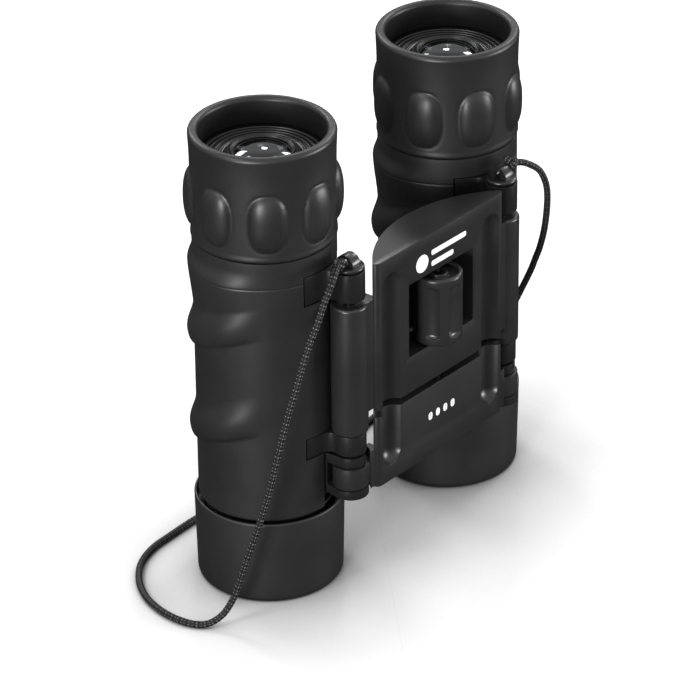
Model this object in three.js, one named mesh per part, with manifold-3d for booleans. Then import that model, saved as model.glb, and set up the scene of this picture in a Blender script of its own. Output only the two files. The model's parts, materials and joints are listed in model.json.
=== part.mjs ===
// Compact folding binoculars: two monocular barrels, each on its own hinge at the edge of a
// central bridge. A wheel in the bridge turns a screw that slides the lower half of the bridge,
// and with it both objective cells inside the barrels. Millimetres, +Z up. The objectives point
// down and the eyecups point up, so the object stands on its two objective bands. The bridge's
// front face looks along -Y. The origin is the centre of the standing object's base.
import * as THREE from "three";
import { mergeVertices } from "three/addons/utils/BufferGeometryUtils.js";
import Module from "manifold-3d";

const wasm = await Module();
wasm.setup();

// Driving dimensions
const BARREL_X = 31.5; // half the distance between the eyes
const BARREL_Y = 5.2;
const HINGE_X = 26.5;
const HINGE_Y = -14.3;
const FRONT_Y = -18.5; // front face of the bridge
const HEIGHT = 110;
const CLEAR = 0.3; // gap between parts that touch
const SIDES = { left: -1, right: 1 };

// Barrel: a hard tube with two hinge ears, in a rubber armour sleeve
const TUBE_IN = 13.5;
const TUBE_OUT = 14.4;
const TUBE_Z = [2.7, 84.7];
const LEDGE_Z = [45, 46.5];
const ARMOUR_IN = 14.7;
const ARMOUR_OUT = 15.77;
const ARMOUR_Z = [20.8, 84.6];
const UPPER_EAR_Z = [73.2, 79.9];
const LOWER_EAR_Z = [35, 39.7];
const EAR_HALF_ANGLE = 30.5;
const EAR_OUT = 15.6;
const EAR_KNUCKLE_R = 3.6;
const KNUCKLE_R = 4;
const PIN_HOLE_R = 1.5;
const PIN_R = 1.2;
const SLOT_Z = [20.5, 34.9];
const ARM_HALF_WIDTH = 2.6;

// Grip ridges of the armour: the two lower ones climb as they come round to the front
const TOP_RIDGE = { tip: 79, height: 1.1, start: 67, end: 82.5 };
const WAVE_RIDGES = [60.5, 36.8];
const WAVE_HEIGHT = 1.5;
const WAVE_CLIMB = 6.2;
const WAVE_FLANKS = [4.5, 5];
const RIDGE_CENTRE = 97; // degrees, on the left barrel
const RIDGE_FADE = [88, 122];

// Objective end
const BAND_OUT = 16.74;
const BAND_FOOT = 16.3;
const BAND_Z = 20.4;
const BAND_IN = 14.7;
const BAND_LIP_IN = 13;
const CELL_OUT = 13.2;
const CELL_Z = [6.2, 34.2];
const OBJECTIVE_R = 12.5;
const FORK_LOW_Z = [24.1, 26.2];
const FORK_HIGH_Z = [31.9, 34.2];

// Eyepiece end
const CUP_Z = [85.1, HEIGHT];
const CUP_OUT = 15.87;
const CUP_RIM = 16.08;
const CUP_IN = 13.92;
const CUP_LIP = 1.1;
const BUMP_Z = 94.2;
const BUMP_HALF_HEIGHT = 6.5;
const BUMP_HALF_ANGLE = 15.3;
const BUMP_HEIGHT = 1.5;
const BUMP_COUNT = 8;
const BUMP_START = { left: 224.3, right: 243.8 };
const EYE_RING_OUT = 14.2;
const EYE_SHELF_Z = 103.4;
const OCULAR_OUT = 8.3;
const OCULAR_BORE = 7.3;
const EYE_LENS_R = 7;

// Bridge
const BRIDGE_HALF = 22.1;
const BRIDGE_SIDE = 1.2;
const BRIDGE_BULGE = 8.8;
const BRIDGE_TOP_Z = [43.8, 80.3];
const BRIDGE_LOW_Z = [24.5, 42.1];
const TOP_CHAMFER = 0.9;
const SLEEVE_R = 4.1;
const SLEEVE_Z = [39.9, 71.7];
const WEB_Z = [44.6, 71.7];
const KNUCKLE_Z = [26.5, 31.6];
const LIP_SET_BACK = 0.8;
const LIP_Z = [24.8, 34.3];
const FLUTE_X = 17.3;
const FLUTE_HALF = 3.1;
const FLUTE_DEPTH = 2.2;
const FLUTE_Z = [28.4, 76.5];
const WINDOW_HALF = 11.2;
const WINDOW_Z = [52.7, 70.8];
const WINDOW_DEPTH = 7.2;
const WHEEL_Y = FRONT_Y + 0.9;
const WHEEL_R = 5.45;
const WHEEL_Z = [53.1, 69.6];
const WHEEL_FLUTES = 6;
const WHEEL_FLUTE_R = 3.6;
const WHEEL_FLUTE_DEPTH = 0.75;
const WHEEL_FLUTE_START = 25;
const SPINDLE_R = 0.45;
const SPINDLE_HOLE_R = 0.65;
const SPINDLE_Z = [31, 73];

// Neck cord, from one strap lug to the other
const LUG_R = 3.5;
const LUG_HALF_WIDTH = 2.4;
const LUG_Z = [80.2, 81, HEIGHT - 26.4];
const LUG_HOLE_Z = 82;
const LUG_HOLE_R = 1;
const CORD_R = 0.8;
const COIL = { x: 11, y: 39.4, inner: 6.2, outer: 11.4, height: 6.6 };
const CORD_LEFT = [
  [-28.3, -14.3, 82], [-30.6, -14.9, 82.6], [-33, -16, 82], [-35, -16.6, 80.2],
  [-37, -16.5, 77.2], [-39.2, -16.3, 72.7], [-41, -15.8, 69], [-43.2, -15.4, 63.9],
  [-45, -14.8, 58.2], [-46.4, -14.1, 53.4], [-47.8, -13.4, 47.8], [-49.1, -12.6, 41.6],
  [-50.3, -11.5, 34.4], [-51.5, -10.2, 28.2], [-52.5, -9, 23], [-53.4, -7.9, 18.8],
  [-54.2, -6.9, 14.6], [-55, -6, 10.4], [-56.1, -4.9, 6.4], [-57.9, -3.5, 3], [-60.2, -1.6, 1.2],
  [-62, 1, 0.85], [-62.9, 5, 0.85], [-62.6, 10.4, 0.85], [-60.6, 16.6, 0.85], [-56.6, 22.4, 0.85],
  [-51, 27, 0.85], [-44.6, 29.4, 0.85], [-37.6, 30, 0.85], [-29, 30.3, 0.85], [-19, 30, 0.85],
  [-9, 28.4, 0.85], [0, 27.2, 0.85], [7, 26.9, 0.85],
];
const CORD_RIGHT = [
  [28.3, -14.3, 82], [30.2, -14.8, 82.9], [32.3, -15.4, 82.6], [34.4, -16.4, 81.4],
  [36.8, -17.2, 79.2], [39, -17.3, 74.9], [40.4, -16.6, 69.9], [42.4, -14.5, 62.3],
  [46.4, -10.2, 54.1], [49.8, -6.1, 47.6], [52.4, -2.8, 42.4], [55.4, 2.3, 34.2],
  [57.6, 7.4, 25.4], [58.4, 12, 17], [57.8, 16.8, 9.6], [55.6, 21.4, 3.9], [51.6, 25.6, 1.1],
  [46, 28, 0.85], [39, 28.7, 0.85], [32, 28, 0.85], [25.6, 27.2, 0.9], [20, 26.8, 1.5],
  [15.6, 26.7, 2.4],
];

// Materials
const finish = (color, roughness, metalness = 0) =>
  new THREE.MeshStandardMaterial({ color, roughness, metalness });
const RUBBER = [0x19191b, 0.75];
const PLASTIC = [0x1d1d20, 0.45];
const INNER_PLASTIC = [0x101011, 0.6];
const STEEL = [0x2b2b2e, 0.4, 0.9];
const GLASS = [0x9fb4b0, 0.05];
const CORD = [0x141415, 0.8];

// Geometry helpers
const radians = THREE.MathUtils.degToRad;

function signedVolume(position, index) {
  const corners = [0, 1, 2].map(() => new THREE.Vector3());
  let volume = 0;
  for (let i = 0; i < index.length; i += 3) {
    corners.forEach((corner, k) => corner.fromBufferAttribute(position, index[i + k]));
    volume += corners[0].dot(corners[1].clone().cross(corners[2])) / 6;
  }
  return volume;
}

// One closed mesh with shared corners, no empty triangles and its faces pointing outwards
function closed(source) {
  const bare = new THREE.BufferGeometry();
  bare.setAttribute("position", source.attributes.position);
  bare.setIndex(source.index);
  const merged = mergeVertices(bare, 1e-4);
  const kept = [];
  for (let i = 0; i < merged.index.count; i += 3) {
    const [a, b, c] = [0, 1, 2].map((k) => merged.index.getX(i + k));
    if (a !== b && b !== c && c !== a) kept.push(a, b, c);
  }
  if (signedVolume(merged.attributes.position, kept) < 0) kept.reverse();
  merged.setIndex(kept);
  return merged;
}

function toSolid(geometry) {
  const { attributes, index } = closed(geometry);
  const mesh = {
    numProp: 3,
    vertProperties: new Float32Array(attributes.position.array),
    triVerts: new Uint32Array(index.array),
  };
  return new wasm.Manifold(new wasm.Mesh(mesh));
}

function fromSolid(solid) {
  const { vertProperties, triVerts } = solid.getMesh();
  const geometry = new THREE.BufferGeometry();
  geometry.setAttribute("position", new THREE.BufferAttribute(vertProperties, 3));
  geometry.setIndex(new THREE.BufferAttribute(triVerts, 1));
  return geometry;
}

function combine(first, added, cut) {
  let solid = toSolid(first);
  for (const geometry of added) solid = solid.add(toSolid(geometry));
  for (const geometry of cut) solid = solid.subtract(toSolid(geometry));
  return fromSolid(solid);
}

// A closed outline of [radius, height] points turned about Z
function revolve(outline, segments = 24) {
  const points = [...outline, outline[0]].map(([r, z]) => new THREE.Vector2(r, z));
  return closed(new THREE.LatheGeometry(points, segments).rotateX(Math.PI / 2));
}

function tube(inner, outer, [low, high], segments = 24) {
  return revolve([[inner, low], [outer, low], [outer, high], [inner, high]], segments);
}

function rod(radius, [low, high], segments = 24) {
  const shape = new THREE.Shape().absarc(0, 0, radius, 0, 2 * Math.PI);
  return extrude(shape, [low, high], segments / 2);
}

function extrude(shape, [low, high], curveSegments = 12) {
  const options = { depth: high - low, bevelEnabled: false, curveSegments };
  return new THREE.ExtrudeGeometry(shape, options).translate(0, 0, low);
}

function block([x0, x1], [y0, y1], [z0, z1]) {
  return new THREE.BoxGeometry(x1 - x0, y1 - y0, z1 - z0)
    .translate((x0 + x1) / 2, (y0 + y1) / 2, (z0 + z1) / 2);
}

// A vertical groove cutter with round ends, whose axis stands at (x, y)
function groove(radius, x, y, [low, high], segments = 12) {
  return new THREE.CapsuleGeometry(radius, high - low, 2, segments)
    .rotateX(Math.PI / 2)
    .translate(x, y, (low + high) / 2);
}

// A round lens: edge from z0 to z1, domed by sag0 below and sag1 above
function lens(radius, [z0, z1], [sag0, sag1], steps = 2) {
  const outline = [];
  const dome = (k, z, sag) => {
    const r = radius * Math.sin((k / steps) * (Math.PI / 2));
    return [r, z + sag * (1 - (r / radius) ** 2)];
  };
  for (let k = 0; k <= steps; k++) outline.push(dome(k, z0, sag0));
  for (let k = steps; k >= 0; k--) outline.push(dome(k, z1, sag1));
  return revolve(outline, 24);
}

// Barrel frame: the origin is on the barrel's axis. Pieces with hinge ears are drawn with the
// hinge along +X and turned to face it.
const REACH = Math.hypot(BARREL_X - HINGE_X, BARREL_Y - HINGE_Y);
const hingeAngle = (side) => Math.atan2(HINGE_Y - BARREL_Y, side * (HINGE_X - BARREL_X));

// An ear from the barrel's wall out to the hinge knuckle
function earShape(rootRadius, cornerX, cornerY, knuckle) {
  const distance = Math.hypot(REACH - cornerX, cornerY);
  const tangent = Math.atan2(cornerY, cornerX - REACH) - Math.acos(knuckle / distance);
  const root = Math.min(Math.asin(cornerY / rootRadius), Math.atan2(cornerY, cornerX));
  const shape = new THREE.Shape();
  shape.absarc(0, 0, rootRadius, root, -root, true);
  shape.lineTo(cornerX, -cornerY);
  shape.absarc(REACH, 0, knuckle, -tangent, tangent, false);
  shape.lineTo(cornerX, cornerY);
  shape.closePath();
  return shape;
}

function sector(inner, outer, halfAngle, range) {
  const half = radians(halfAngle);
  const shape = new THREE.Shape();
  shape.absarc(0, 0, inner, half, -half, true);
  shape.absarc(0, 0, outer, -half, half, false);
  shape.closePath();
  return extrude(shape, range, 8);
}

function housing() {
  const [z0, z1] = TUBE_Z;
  const body = revolve([
    [TUBE_IN, z0], [TUBE_OUT, z0], [TUBE_OUT, z1], [TUBE_IN, z1],
    [TUBE_IN, LEDGE_Z[1]], [TUBE_IN - 1.1, LEDGE_Z[1]],
    [TUBE_IN - 1.1, LEDGE_Z[0]], [TUBE_IN, LEDGE_Z[0]],
  ]);
  const angle = radians(EAR_HALF_ANGLE);
  const [x, y] = [EAR_OUT * Math.cos(angle), EAR_OUT * Math.sin(angle)];
  const shape = earShape(TUBE_IN + 0.4, x, y, EAR_KNUCKLE_R);
  const ears = [UPPER_EAR_Z, LOWER_EAR_Z].map((range) => extrude(shape, range, 10));
  const hole = rod(PIN_HOLE_R, [30, HEIGHT], 16).translate(REACH, 0, 0);
  const slotHalf = ARM_HALF_WIDTH + CLEAR;
  const slot = block([12, 17], [-slotHalf, slotHalf], SLOT_Z);
  return combine(body, ears, [hole, slot]);
}

// How far a grip ridge stands out at an angle (degrees, left barrel) and a height
function ridge(angle, z) {
  const away = Math.abs(((angle - RIDGE_CENTRE + 540) % 360) - 180);
  const reach = 1 - THREE.MathUtils.smoothstep(away, ...RIDGE_FADE);
  const { tip, height, start, end } = TOP_RIDGE;
  const top = height * (z < tip ? (z - start) / (tip - start) : (end - z) / (end - tip));
  const climb = waveClimb(angle);
  const waves = WAVE_RIDGES.map((low) => {
    const offset = z - low - climb;
    return WAVE_HEIGHT * (1 - Math.abs(offset) / WAVE_FLANKS[offset < 0 ? 0 : 1]);
  });
  return reach * Math.max(0, top, ...waves);
}

function waveClimb(angle) {
  return Math.min(WAVE_CLIMB * (1 - Math.cos(radians(angle - 90))), 10.5);
}

// The armour is a sleeve whose rows of points follow the climbing ridges
function armour(side) {
  const rows = [[ARMOUR_Z[0], 0], [27.5, 0]];
  for (const tip of [...WAVE_RIDGES].reverse()) {
    rows.push([tip - WAVE_FLANKS[0], 1], [tip, 1], [tip + WAVE_FLANKS[1], 1]);
  }
  rows.push([TOP_RIDGE.tip, 0], [TOP_RIDGE.end, 0], [ARMOUR_Z[1], 0]);
  const outline = rows.map(([z]) => [ARMOUR_OUT, z]);
  outline.push([ARMOUR_IN, ARMOUR_Z[1]], [ARMOUR_IN, ARMOUR_Z[0]]);
  const sleeve = revolve(outline, 36);
  const climbing = new Map(rows.map(([z, follows]) => [z.toFixed(2), follows]));
  const position = sleeve.attributes.position;
  for (let i = 0; i < position.count; i++) {
    const [x, y, z] = [position.getX(i), position.getY(i), position.getZ(i)];
    if (Math.hypot(x, y) < (ARMOUR_IN + ARMOUR_OUT) / 2) continue;
    const angle = THREE.MathUtils.radToDeg(Math.atan2(y, -side * x));
    const raised = z + climbing.get(z.toFixed(2)) * waveClimb(angle);
    const scale = 1 + ridge(angle, raised) / ARMOUR_OUT;
    position.setXYZ(i, x * scale, y * scale, raised);
  }
  const towards = hingeAngle(side);
  const cut = (halfAngle, [low, high]) =>
    sector(ARMOUR_IN - 0.5, 19, halfAngle, [low - CLEAR, high + CLEAR]).rotateZ(towards);
  return combine(sleeve, [], [
    cut(EAR_HALF_ANGLE + 1.2, UPPER_EAR_Z),
    cut(EAR_HALF_ANGLE + 1.2, LOWER_EAR_Z),
    cut(12.8, [10, LOWER_EAR_Z[0]]),
  ]);
}

function band() {
  return revolve([
    [BAND_LIP_IN, 0], [BAND_FOOT - 1.2, 0], [BAND_FOOT, 1.2], [BAND_OUT, BAND_Z - 1],
    [BAND_OUT - 0.6, BAND_Z], [BAND_IN, BAND_Z], [BAND_IN, 2.4], [BAND_LIP_IN, 2.4],
  ], 36);
}

function objectiveCell() {
  const [z0, z1] = CELL_Z;
  const wall = revolve([
    [OBJECTIVE_R + CLEAR, z0], [CELL_OUT, z0], [CELL_OUT, z1], [CELL_OUT - 1.2, z1],
    [CELL_OUT - 1.2, 12], [CELL_OUT - 1.6, 12], [CELL_OUT - 1.6, 11], [OBJECTIVE_R + CLEAR, 11],
  ]);
  const half = ARM_HALF_WIDTH;
  const arm = block([12.6, REACH - KNUCKLE_R - 0.5], [-half, half], [FORK_LOW_Z[0], z1]);
  const fork = earShape(12.8, 16, half, KNUCKLE_R);
  const rings = [FORK_LOW_Z, FORK_HIGH_Z].map((range) => extrude(fork, range, 10));
  const hole = rod(PIN_HOLE_R, [20, 40], 16).translate(REACH, 0, 0);
  return combine(wall, [arm, ...rings], [hole]);
}

// The eyecup: a sleeve with a rolled rim and a ring of oval finger bumps
function eyecup(side, start) {
  const [z0, z1] = CUP_Z;
  const rimZ = z1 - CUP_LIP;
  const steps = [-1, -0.85, -0.4, 0.4, 0.85, 1];
  const sleeve = revolve([
    [EYE_RING_OUT + CLEAR, z0], [CUP_OUT - 0.3, z0], [CUP_OUT, z0 + 0.6],
    ...steps.map((step) => [CUP_OUT, BUMP_Z + step * BUMP_HALF_HEIGHT]),
    [CUP_RIM, rimZ], [CUP_RIM - CUP_LIP, z1], [CUP_IN, rimZ], [CUP_IN, EYE_SHELF_Z + CLEAR],
    [EYE_RING_OUT + CLEAR, EYE_SHELF_Z + CLEAR],
  ], 48);
  const spacing = 360 / BUMP_COUNT;
  const position = sleeve.attributes.position;
  for (let i = 0; i < position.count; i++) {
    const [x, y, z] = [position.getX(i), position.getY(i), position.getZ(i)];
    if (Math.hypot(x, y) < CUP_OUT - 0.1) continue;
    const angle = THREE.MathUtils.radToDeg(Math.atan2(y, x)) - start;
    const across = (((angle % spacing) + 1.5 * spacing) % spacing) - spacing / 2;
    const fall = (across / BUMP_HALF_ANGLE) ** 2 + ((z - BUMP_Z) / BUMP_HALF_HEIGHT) ** 2;
    const scale = 1 + (BUMP_HEIGHT * Math.sqrt(Math.max(0, 1 - fall))) / CUP_OUT;
    position.setXYZ(i, x * scale, y * scale, z);
  }
  return sleeve;
}

function eyepieceRing() {
  const skirt = TUBE_IN - CLEAR;
  const bore = EYE_RING_OUT - 1.3;
  return revolve([
    [skirt - 1, 78], [skirt, 78], [skirt, CUP_Z[0]], [EYE_RING_OUT, CUP_Z[0]],
    [EYE_RING_OUT, EYE_SHELF_Z], [OCULAR_OUT + CLEAR, EYE_SHELF_Z],
    [OCULAR_OUT + CLEAR, EYE_SHELF_Z - 1.5], [bore, EYE_SHELF_Z - 1.5], [bore, 86], [skirt - 1, 86],
  ]);
}

function ocularCell() {
  const flange = EYE_RING_OUT - 1.7;
  return revolve([
    [OCULAR_BORE, 88], [flange, 88], [flange, 91], [OCULAR_OUT, 91], [OCULAR_OUT, 104.5],
    [OCULAR_BORE, 104.5], [OCULAR_BORE, 100], [OCULAR_BORE - 0.9, 100],
    [OCULAR_BORE - 0.9, 99], [OCULAR_BORE, 99],
  ]);
}

function ocularRetainer() {
  const [low, high] = [103.5, 104.3];
  return tube(EYE_LENS_R - 1.1, EYE_LENS_R, [low, high]);
}

function prismHolder() {
  const body = rod(TUBE_IN - CLEAR, [46.8, 76], 28);
  return combine(body, [], [block([-8.8, 8.8], [-6.6, 6.6], [40, 80])]);
}

// The two prisms of a straight-through pair, with a thin slanting air gap between them
function prism(outline) {
  const shape = new THREE.Shape(outline.map(([x, z]) => new THREE.Vector2(x, z)));
  return extrude(shape, [-6.2, 6.2]).rotateX(Math.PI / 2);
}
const ROOF_PRISM = [[-8.4, 73.6], [-8.4, 71.2], [0, 61.8], [8.4, 71.2], [8.4, 73.6]];
const HALF_PRISM = [[-8.4, 49.5], [8.4, 49.5], [8.4, 70.5], [0, 61.1], [-8.4, 61.1]];

// Bridge: a D-shaped body with a flat front and a round back between the barrels
function bridgeShape() {
  const sideY = FRONT_Y + BRIDGE_SIDE;
  const radius = (BRIDGE_HALF ** 2 + BRIDGE_BULGE ** 2) / (2 * BRIDGE_BULGE);
  const centreY = sideY + BRIDGE_BULGE - radius;
  const start = Math.atan2(sideY - centreY, BRIDGE_HALF);
  const shape = new THREE.Shape();
  shape.moveTo(-BRIDGE_HALF, FRONT_Y);
  shape.lineTo(BRIDGE_HALF, FRONT_Y);
  shape.absarc(0, centreY, radius, start, Math.PI - start, false);
  shape.closePath();
  return shape;
}

function bridgeFlutes() {
  const radius = (FLUTE_HALF ** 2 + FLUTE_DEPTH ** 2) / (2 * FLUTE_DEPTH);
  const y = FRONT_Y - radius + FLUTE_DEPTH;
  const range = [FLUTE_Z[0] + FLUTE_HALF, FLUTE_Z[1] - FLUTE_HALF];
  return [-1, 1].map((side) => groove(radius, side * FLUTE_X, y, range));
}

const atHinges = (make) => [-1, 1].map((side) => make(side).translate(side * HINGE_X, HINGE_Y, 0));
const hingeHoles = () => atHinges(() => rod(PIN_HOLE_R, [0, HEIGHT], 16));
const beside = (inner, outer) => (side) => [side * inner, side * outer].sort((a, b) => a - b);

function mainBridge() {
  const sleeves = atHinges(() => rod(SLEEVE_R, SLEEVE_Z, 28));
  const webX = beside(21, HINGE_X);
  const webs = [-1, 1].map((side) => block(webX(side), [FRONT_Y + 0.9, FRONT_Y + 5.7], WEB_Z));
  const chamfer = block([-30, 30], [-TOP_CHAMFER, TOP_CHAMFER], [-TOP_CHAMFER, TOP_CHAMFER])
    .rotateX(Math.PI / 4).translate(0, FRONT_Y, BRIDGE_TOP_Z[1]);
  const window = block([-WINDOW_HALF, WINDOW_HALF], [FRONT_Y - 1, FRONT_Y + WINDOW_DEPTH], WINDOW_Z);
  const bore = rod(SPINDLE_HOLE_R, [40, SPINDLE_Z[1] + 1], 12).translate(0, WHEEL_Y, 0);
  const cuts = [chamfer, window, bore, ...bridgeFlutes(), ...hingeHoles()];
  return combine(extrude(bridgeShape(), BRIDGE_TOP_Z, 20), [...sleeves, ...webs], cuts);
}

function lowerBridge() {
  const lipX = beside(21, 24.4);
  const webX = beside(21, HINGE_X);
  const lips = [-1, 1].map((side) => block(lipX(side), [FRONT_Y + LIP_SET_BACK, FRONT_Y + 3.5], LIP_Z));
  const recess = atHinges(() => rod(KNUCKLE_R + 0.35, [0, 50], 28));
  const plate = combine(extrude(bridgeShape(), BRIDGE_LOW_Z, 20), lips, recess);
  const knuckles = atHinges(() => rod(KNUCKLE_R, KNUCKLE_Z, 24));
  const webs = [-1, 1].map((side) => block(webX(side), [FRONT_Y + 0.9, FRONT_Y + 5.5], KNUCKLE_Z));
  const bore = rod(SPINDLE_HOLE_R, [SPINDLE_Z[0] - 1, 50], 12).translate(0, WHEEL_Y, 0);
  return combine(plate, [...knuckles, ...webs], [bore, ...bridgeFlutes(), ...hingeHoles()]);
}

function focusWheel() {
  const [z0, z1] = WHEEL_Z;
  const body = revolve([
    [SPINDLE_R + CLEAR, z0], [WHEEL_R - 0.5, z0], [WHEEL_R, z0 + 0.5], [WHEEL_R, z1 - 0.5],
    [WHEEL_R - 0.5, z1], [WHEEL_R - 1.3, z1], [WHEEL_R - 1.5, z1 - 1],
    [2.2, z1 - 1], [2, z1 - 0.2], [SPINDLE_R + CLEAR, z1 - 0.2],
  ], 30);
  const flutes = [];
  for (let k = 0; k < WHEEL_FLUTES; k++) {
    const angle = radians(WHEEL_FLUTE_START + (k / WHEEL_FLUTES) * 360);
    const reach = WHEEL_R + WHEEL_FLUTE_R - WHEEL_FLUTE_DEPTH;
    const flute = rod(WHEEL_FLUTE_R, [z0 + 1.7, z1 - 1.7], 28);
    flutes.push(flute.translate(reach * Math.cos(angle), reach * Math.sin(angle), 0));
  }
  return combine(body, [], flutes);
}

// The lug for the neck cord: a flange on top of the hinge with a bail across it
function strapLug() {
  const [low, flange, top] = LUG_Z;
  const half = LUG_HALF_WIDTH;
  const outline = new THREE.Shape();
  outline.moveTo(-half, flange - 0.5);
  outline.lineTo(half, flange - 0.5);
  outline.absarc(0, top - half, half, 0, Math.PI, false);
  outline.closePath();
  const bail = extrude(outline, [-1.3, 1.3], 12).rotateX(Math.PI / 2).rotateZ(Math.PI / 2);
  const hole = rod(LUG_HOLE_R, [-5, 5], 14).rotateY(Math.PI / 2).translate(0, 0, LUG_HOLE_Z);
  return combine(rod(LUG_R, [low, flange]), [bail], [hole]);
}

function cordTube(points, steps) {
  const section = new THREE.Shape().absarc(0, 0, CORD_R, 0, 2 * Math.PI);
  const extrudePath = new THREE.CatmullRomCurve3(points.map((p) => new THREE.Vector3(...p)));
  return new THREE.ExtrudeGeometry(section, { steps, curveSegments: 4, extrudePath });
}

// Assembly
const binoculars = new THREE.Group();

function place(parent, name, geometry, material, turn = 0) {
  const mesh = new THREE.Mesh(closed(geometry), finish(...material));
  mesh.name = name;
  mesh.rotation.z = turn;
  mesh.geometry.computeVertexNormals();
  parent.add(mesh);
  return mesh;
}

for (const [name, side] of Object.entries(SIDES)) {
  const barrel = new THREE.Group();
  barrel.position.set(side * BARREL_X, BARREL_Y, 0);
  binoculars.add(barrel);
  const turn = hingeAngle(side);
  const add = (piece, geometry, material, angle = 0) =>
    place(barrel, `${name}_${piece}`, geometry, material, angle);
  add("barrel_housing", housing(), PLASTIC, turn);
  add("barrel_armour", armour(side), RUBBER);
  add("objective_band", band(), RUBBER);
  add("objective_cell", objectiveCell(), INNER_PLASTIC, turn);
  add("objective_retainer", tube(11.4, OBJECTIVE_R, [6.4, 7.2]), INNER_PLASTIC);
  add("objective_front_lens", lens(OBJECTIVE_R, [8.4, 9.3], [-0.9, 0]), GLASS);
  add("objective_rear_lens", lens(OBJECTIVE_R, [9.6, 10.7], [0, 0.4]), GLASS);
  add("prism_holder", prismHolder(), INNER_PLASTIC);
  add("roof_prism", prism(ROOF_PRISM), GLASS);
  add("half_prism", prism(HALF_PRISM), GLASS);
  add("eyepiece_ring", eyepieceRing(), INNER_PLASTIC);
  add("eyecup", eyecup(side, BUMP_START[name]), RUBBER);
  add("ocular_cell", ocularCell(), INNER_PLASTIC);
  add("field_lens", lens(EYE_LENS_R, [93, 94.6], [-1, 1]), GLASS);
  add("eye_lens", lens(EYE_LENS_R, [100.3, 102.4], [0, 1.5]), GLASS);
  add("ocular_retainer", ocularRetainer(), INNER_PLASTIC);

  const hinge = new THREE.Group();
  hinge.position.set(side * HINGE_X, HINGE_Y, 0);
  binoculars.add(hinge);
  place(hinge, `${name}_hinge_pin`, rod(PIN_R, [24, 79.8], 16), STEEL);
  place(hinge, `${name}_strap_lug`, strapLug(), PLASTIC);
}

place(binoculars, "main_bridge", mainBridge(), PLASTIC);
place(binoculars, "lower_bridge", lowerBridge(), PLASTIC);
place(binoculars, "focus_wheel", focusWheel(), PLASTIC).position.y = WHEEL_Y;
place(binoculars, "focus_spindle", rod(SPINDLE_R, SPINDLE_Z, 12), STEEL).position.y = WHEEL_Y;

place(binoculars, "neck_cord_left", cordTube(CORD_LEFT, 48), CORD);
place(binoculars, "neck_cord_right", cordTube(CORD_RIGHT, 38), CORD);
const coil = tube(COIL.inner, COIL.outer, [0.05, COIL.height]);
place(binoculars, "neck_cord_coil", coil, CORD).position.set(COIL.x, COIL.y, 0);

export default binoculars;
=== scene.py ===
"""Looks of the compact folding binoculars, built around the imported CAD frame.

Lengths in this script are millimetres until an object is made, which scales them to metres.
Places come from the frame: the barrels' axes, the hinges, the bridge's front face and the wheel.
"""
import json
import math

import bmesh
import bpy
from mathutils import Matrix, Vector


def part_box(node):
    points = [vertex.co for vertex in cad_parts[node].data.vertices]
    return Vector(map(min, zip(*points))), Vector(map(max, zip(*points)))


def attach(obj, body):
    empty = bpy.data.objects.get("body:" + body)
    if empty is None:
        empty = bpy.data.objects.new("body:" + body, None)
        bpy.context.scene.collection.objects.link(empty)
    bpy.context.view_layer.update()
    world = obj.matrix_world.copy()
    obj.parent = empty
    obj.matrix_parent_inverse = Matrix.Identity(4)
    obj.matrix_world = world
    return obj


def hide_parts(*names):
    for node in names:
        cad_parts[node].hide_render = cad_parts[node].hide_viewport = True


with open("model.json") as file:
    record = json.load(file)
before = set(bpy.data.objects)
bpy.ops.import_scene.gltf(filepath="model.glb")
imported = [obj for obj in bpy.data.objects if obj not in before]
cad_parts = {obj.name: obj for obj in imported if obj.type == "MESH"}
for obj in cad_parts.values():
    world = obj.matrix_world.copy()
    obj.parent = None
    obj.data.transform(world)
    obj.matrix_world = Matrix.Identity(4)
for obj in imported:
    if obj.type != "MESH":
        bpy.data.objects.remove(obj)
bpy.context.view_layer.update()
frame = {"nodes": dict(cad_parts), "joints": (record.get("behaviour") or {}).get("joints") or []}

MM = 0.001
SIDES = {"left": -1, "right": 1}
UP = Vector((0, 0, 1))


def span(node):
    """A CAD node's lowest and highest corners in millimetres."""
    low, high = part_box(node)
    return low / MM, high / MM


joints = {joint["name"]: joint for joint in frame["joints"]}
HINGE_X, HINGE_Y = (value / MM for value in joints["right_fold"]["pos_m"][:2])
WHEEL_Y = joints["focus_turn"]["pos_m"][1] / MM
FRONT_Y = span("main_bridge")[0].y
band_low, band_high = span("right_objective_band")
BARREL_X, BARREL_Y = (band_low.x + band_high.x) / 2, (band_low.y + band_high.y) / 2
REACH = math.hypot(BARREL_X - HINGE_X, BARREL_Y - HINGE_Y)

# Camera, in degrees and metres
CAMERA_AZIMUTH = -49.82
CAMERA_ELEVATION = 29.37
CAMERA_ROLL = -0.59
CAMERA_DISTANCE = 1.00587
CAMERA_TARGET = Vector((-0.00902, 0.00029, 0.04708))
CAMERA_VIEW_ANGLE = 8.858


def make_camera():
    azimuth, elevation = math.radians(CAMERA_AZIMUTH), math.radians(CAMERA_ELEVATION)
    back = Vector((math.sin(azimuth) * math.cos(elevation),
                   -math.cos(azimuth) * math.cos(elevation), math.sin(elevation)))
    right = UP.cross(back).normalized()
    turn = Matrix.Rotation(math.radians(CAMERA_ROLL), 3, back)
    right = turn @ right
    data = bpy.data.cameras.new("camera")
    data.angle = math.radians(CAMERA_VIEW_ANGLE)
    data.clip_start, data.clip_end = 0.05, 100
    camera = bpy.data.objects.new("camera", data)
    axes = Matrix((right, back.cross(right), back)).transposed().to_4x4()
    camera.matrix_world = Matrix.Translation(CAMERA_TARGET + back * CAMERA_DISTANCE) @ axes
    bpy.context.scene.collection.objects.link(camera)
    bpy.context.scene.camera = camera


# Mesh helpers ------------------------------------------------------------------------------

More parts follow.
